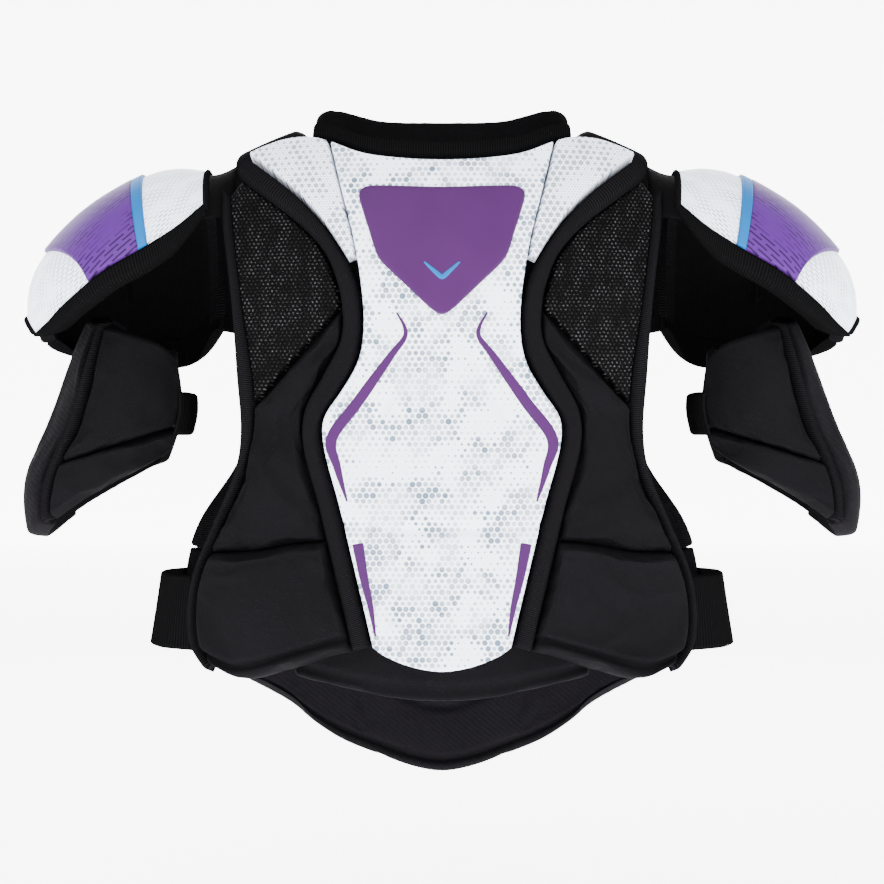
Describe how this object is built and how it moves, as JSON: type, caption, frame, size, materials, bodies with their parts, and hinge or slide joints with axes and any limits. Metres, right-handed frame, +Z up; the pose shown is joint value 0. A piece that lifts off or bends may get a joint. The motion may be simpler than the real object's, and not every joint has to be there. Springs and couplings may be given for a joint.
{
  "type": "hockey shoulder pads",
  "caption": "Padded torso protector with a chest plate, hinged back panel, domed shoulder caps, hanging bicep guards and waist straps.",
  "frame": {"origin": "middle of the neck opening, at the height where the pads rest on the wearer's shoulders", "axes": "+X to the wearer's left, -Y to the wearer's front, +Z up"},
  "size_m": [0.4882, 0.2159, 0.4018],
  "materials": {
    "black_fabric": "brushed knit",
    "white_fabric": "printed woven",
    "black_mesh": "open spacer mesh",
    "binding_tape": "ribbed elastic tape",
    "strap_webbing": "woven elastic",
    "foam": "closed-cell foam",
    "plate_plastic": "matt",
    "purple_trim": "satin",
    "badge": "matt"
  },
  "bodies": {
    "chest": {"chest_liner": "black_fabric", "chest_foam": "foam", "chest_plate": "plate_plastic", "chest_cover": "white_fabric", "chest_badge": "badge", "belly_pad": "black_fabric", "neck_band": "binding_tape", "shoulder_yoke_left": "white_fabric", "shoulder_yoke_right": "white_fabric", "chest_binding_left": "binding_tape", "chest_binding_right": "binding_tape", "mesh_insert_left": "black_mesh", "mesh_insert_right": "black_mesh", "upper_wing_left": "black_fabric", "upper_wing_right": "black_fabric", "lower_wing_left": "black_fabric", "lower_wing_right": "black_fabric", "side_binding_left": "binding_tape", "side_binding_right": "binding_tape", "shoulder_bridge_left": "black_fabric", "shoulder_bridge_right": "black_fabric"},
    "back_panel": {"back_liner": "black_fabric", "back_foam": "foam", "spine_plate": "plate_plastic", "back_centre": "white_fabric", "back_lower_flap": "black_fabric", "back_collar": "binding_tape", "back_pad_left": "black_fabric", "back_pad_right": "black_fabric", "back_binding_left": "binding_tape", "back_binding_right": "binding_tape"},
    "cap_left": {"cap_cover_left": "white_fabric", "cap_shell_left": "plate_plastic", "cap_foam_left": "black_fabric", "cap_band_left": "purple_trim", "cap_binding_left": "binding_tape", "guard_hanger_left": "strap_webbing"},
    "guard_left": {"guard_outer_left": "black_fabric", "guard_plate_left": "plate_plastic", "guard_back_left": "black_fabric", "guard_rib_left": "binding_tape", "guard_front_left": "black_fabric", "guard_cuff_left": "black_fabric"},
    "arm_strap_left": {"arm_strap_left": "strap_webbing"},
    "side_strap_left": {"side_strap_left": "strap_webbing"},
    "cap_right": {"cap_cover_right": "white_fabric", "cap_shell_right": "plate_plastic", "cap_foam_right": "black_fabric", "cap_band_right": "purple_trim", "cap_binding_right": "binding_tape", "guard_hanger_right": "strap_webbing"},
    "guard_right": {"guard_outer_right": "black_fabric", "guard_plate_right": "plate_plastic", "guard_back_right": "black_fabric", "guard_rib_right": "binding_tape", "guard_front_right": "black_fabric", "guard_cuff_right": "black_fabric"},
    "arm_strap_right": {"arm_strap_right": "strap_webbing"},
    "side_strap_right": {"side_strap_right": "strap_webbing"}
  },
  "joints": [
    {"name": "back_open", "type": "hinge", "parent": "chest", "child": "back_panel", "pos_m": [0, 0.038, 0.01], "axis": [1, 0, 0], "range_deg": [0, 35]},
    {"name": "cap_lift_left", "type": "hinge", "parent": "chest", "child": "cap_left", "pos_m": [0.134, 0, -0.01], "axis": [0, -1, 0], "range_deg": [0, 55]},
    {"name": "guard_swing_left", "type": "hinge", "parent": "cap_left", "child": "guard_left", "pos_m": [0.196, 0, -0.088], "axis": [0, -1, 0], "range_deg": [0, 16]},
    {"name": "arm_strap_open_left", "type": "hinge", "parent": "guard_left", "child": "arm_strap_left", "pos_m": [0.1595, 0.036, -0.1505], "axis": [0, 0, -1], "range_deg": [0, 60]},
    {"name": "side_strap_open_left", "type": "hinge", "parent": "chest", "child": "side_strap_left", "pos_m": [0.1435, -0.0415, -0.2645], "axis": [0, 0, -1], "range_deg": [0, 50]},
    {"name": "cap_lift_right", "type": "hinge", "parent": "chest", "child": "cap_right", "pos_m": [-0.134, 0, -0.01], "axis": [0, 1, 0], "range_deg": [0, 55]},
    {"name": "guard_swing_right", "type": "hinge", "parent": "cap_right", "child": "guard_right", "pos_m": [-0.196, 0, -0.088], "axis": [0, 1, 0], "range_deg": [0, 16]},
    {"name": "arm_strap_open_right", "type": "hinge", "parent": "guard_right", "child": "arm_strap_right", "pos_m": [-0.1595, 0.036, -0.1505], "axis": [0, 0, 1], "range_deg": [0, 60]},
    {"name": "side_strap_open_right", "type": "hinge", "parent": "chest", "child": "side_strap_right", "pos_m": [-0.1435, -0.0415, -0.2645], "axis": [0, 0, 1], "range_deg": [0, 50]}
  ]
}
